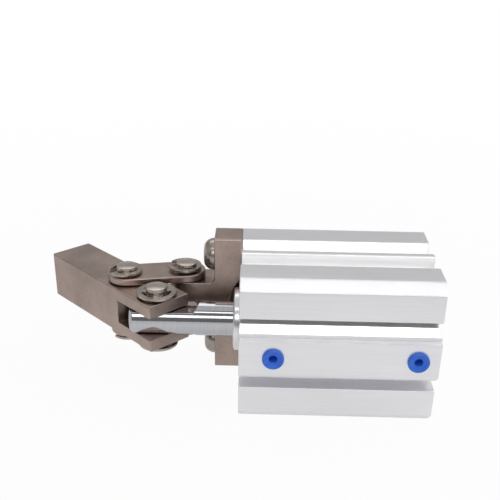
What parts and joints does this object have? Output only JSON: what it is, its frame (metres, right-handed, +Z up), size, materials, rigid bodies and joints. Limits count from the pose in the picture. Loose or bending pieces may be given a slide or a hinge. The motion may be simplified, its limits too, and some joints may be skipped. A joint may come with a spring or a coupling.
{
  "type": "pneumatic clamp cylinder",
  "caption": "Compact pneumatic cylinder with a side bracket and a linkage that swings a forked clamp arm through a quarter turn as the rod moves.",
  "frame": {"origin": "centre of the cylinder's rear mounting face, on the rod axis", "axes": "+X out of the rear face, so the rod points along -X; +Y towards the bracket and the links, with the ports on the -Y side; +Z up"},
  "size_m": [0.1127, 0.0596, 0.042],
  "materials": {
    "body_aluminium": "satin clear anodised",
    "cover_aluminium": "turned",
    "seal_rubber": "matte",
    "ring_steel": "phosphated",
    "bush_bronze": "sintered",
    "bumper_urethane": "matte",
    "plug_plastic": "semi-gloss",
    "nickel_steel": "satin nickel plating",
    "screw_steel": "nickel plating",
    "pin_steel": "ground",
    "clip_steel": "bright plating",
    "rod_chrome": "hard chrome, ground",
    "piston_aluminium": "turned",
    "wear_ring_resin": "matte",
    "magnet_rubber": "matte"
  },
  "bodies": {
    "housing": {"cylinder_body": "body_aluminium", "front_cover": "cover_aluminium", "front_cover_seal": "seal_rubber", "front_retaining_ring": "ring_steel", "rod_bush": "bush_bronze", "rod_seal": "seal_rubber", "front_bumper": "bumper_urethane", "rear_cover": "cover_aluminium", "rear_cover_seal": "seal_rubber", "rear_retaining_ring": "ring_steel", "rear_bumper": "bumper_urethane", "front_port_plug": "plug_plastic", "rear_port_plug": "plug_plastic", "clamp_bracket": "nickel_steel", "upper_bracket_screw": "screw_steel", "lower_bracket_screw": "screw_steel", "lug_pin": "pin_steel", "upper_lug_pin_clip": "clip_steel", "lower_lug_pin_clip": "clip_steel"},
    "rod": {"piston_rod": "rod_chrome", "piston": "piston_aluminium", "piston_seal": "seal_rubber", "piston_wear_ring": "wear_ring_resin", "piston_magnet": "magnet_rubber", "piston_nut": "screw_steel"},
    "arm": {"clamp_arm": "nickel_steel", "rod_pin": "pin_steel", "upper_rod_pin_clip": "clip_steel", "lower_rod_pin_clip": "clip_steel"},
    "links": {"upper_link_plate": "nickel_steel", "lower_link_plate": "nickel_steel", "arm_pin": "pin_steel", "upper_arm_pin_clip": "clip_steel", "lower_arm_pin_clip": "clip_steel"}
  },
  "joints": [
    {"name": "rod_slide", "type": "slide", "parent": "housing", "child": "rod", "axis": [-1, 0, 0], "range_m": [-0.01, 0.01]},
    {"name": "arm_pivot", "type": "hinge", "parent": "rod", "child": "arm", "pos_m": [-0.0769, 0, 0], "axis": [0, 0, -1], "range_deg": [-41.5, 41.5]},
    {"name": "link_pivot", "type": "hinge", "parent": "housing", "child": "links", "pos_m": [-0.0695, 0.0134, 0], "axis": [0, 0, -1], "range_deg": [-24.5, 24.5]}
  ],
  "couplings": [
    {"joint": "arm_pivot", "follows": "rod_slide", "rad_per_m": 71.558},
    {"joint": "link_pivot", "follows": "rod_slide", "rad_per_m": 41.888}
  ]
}
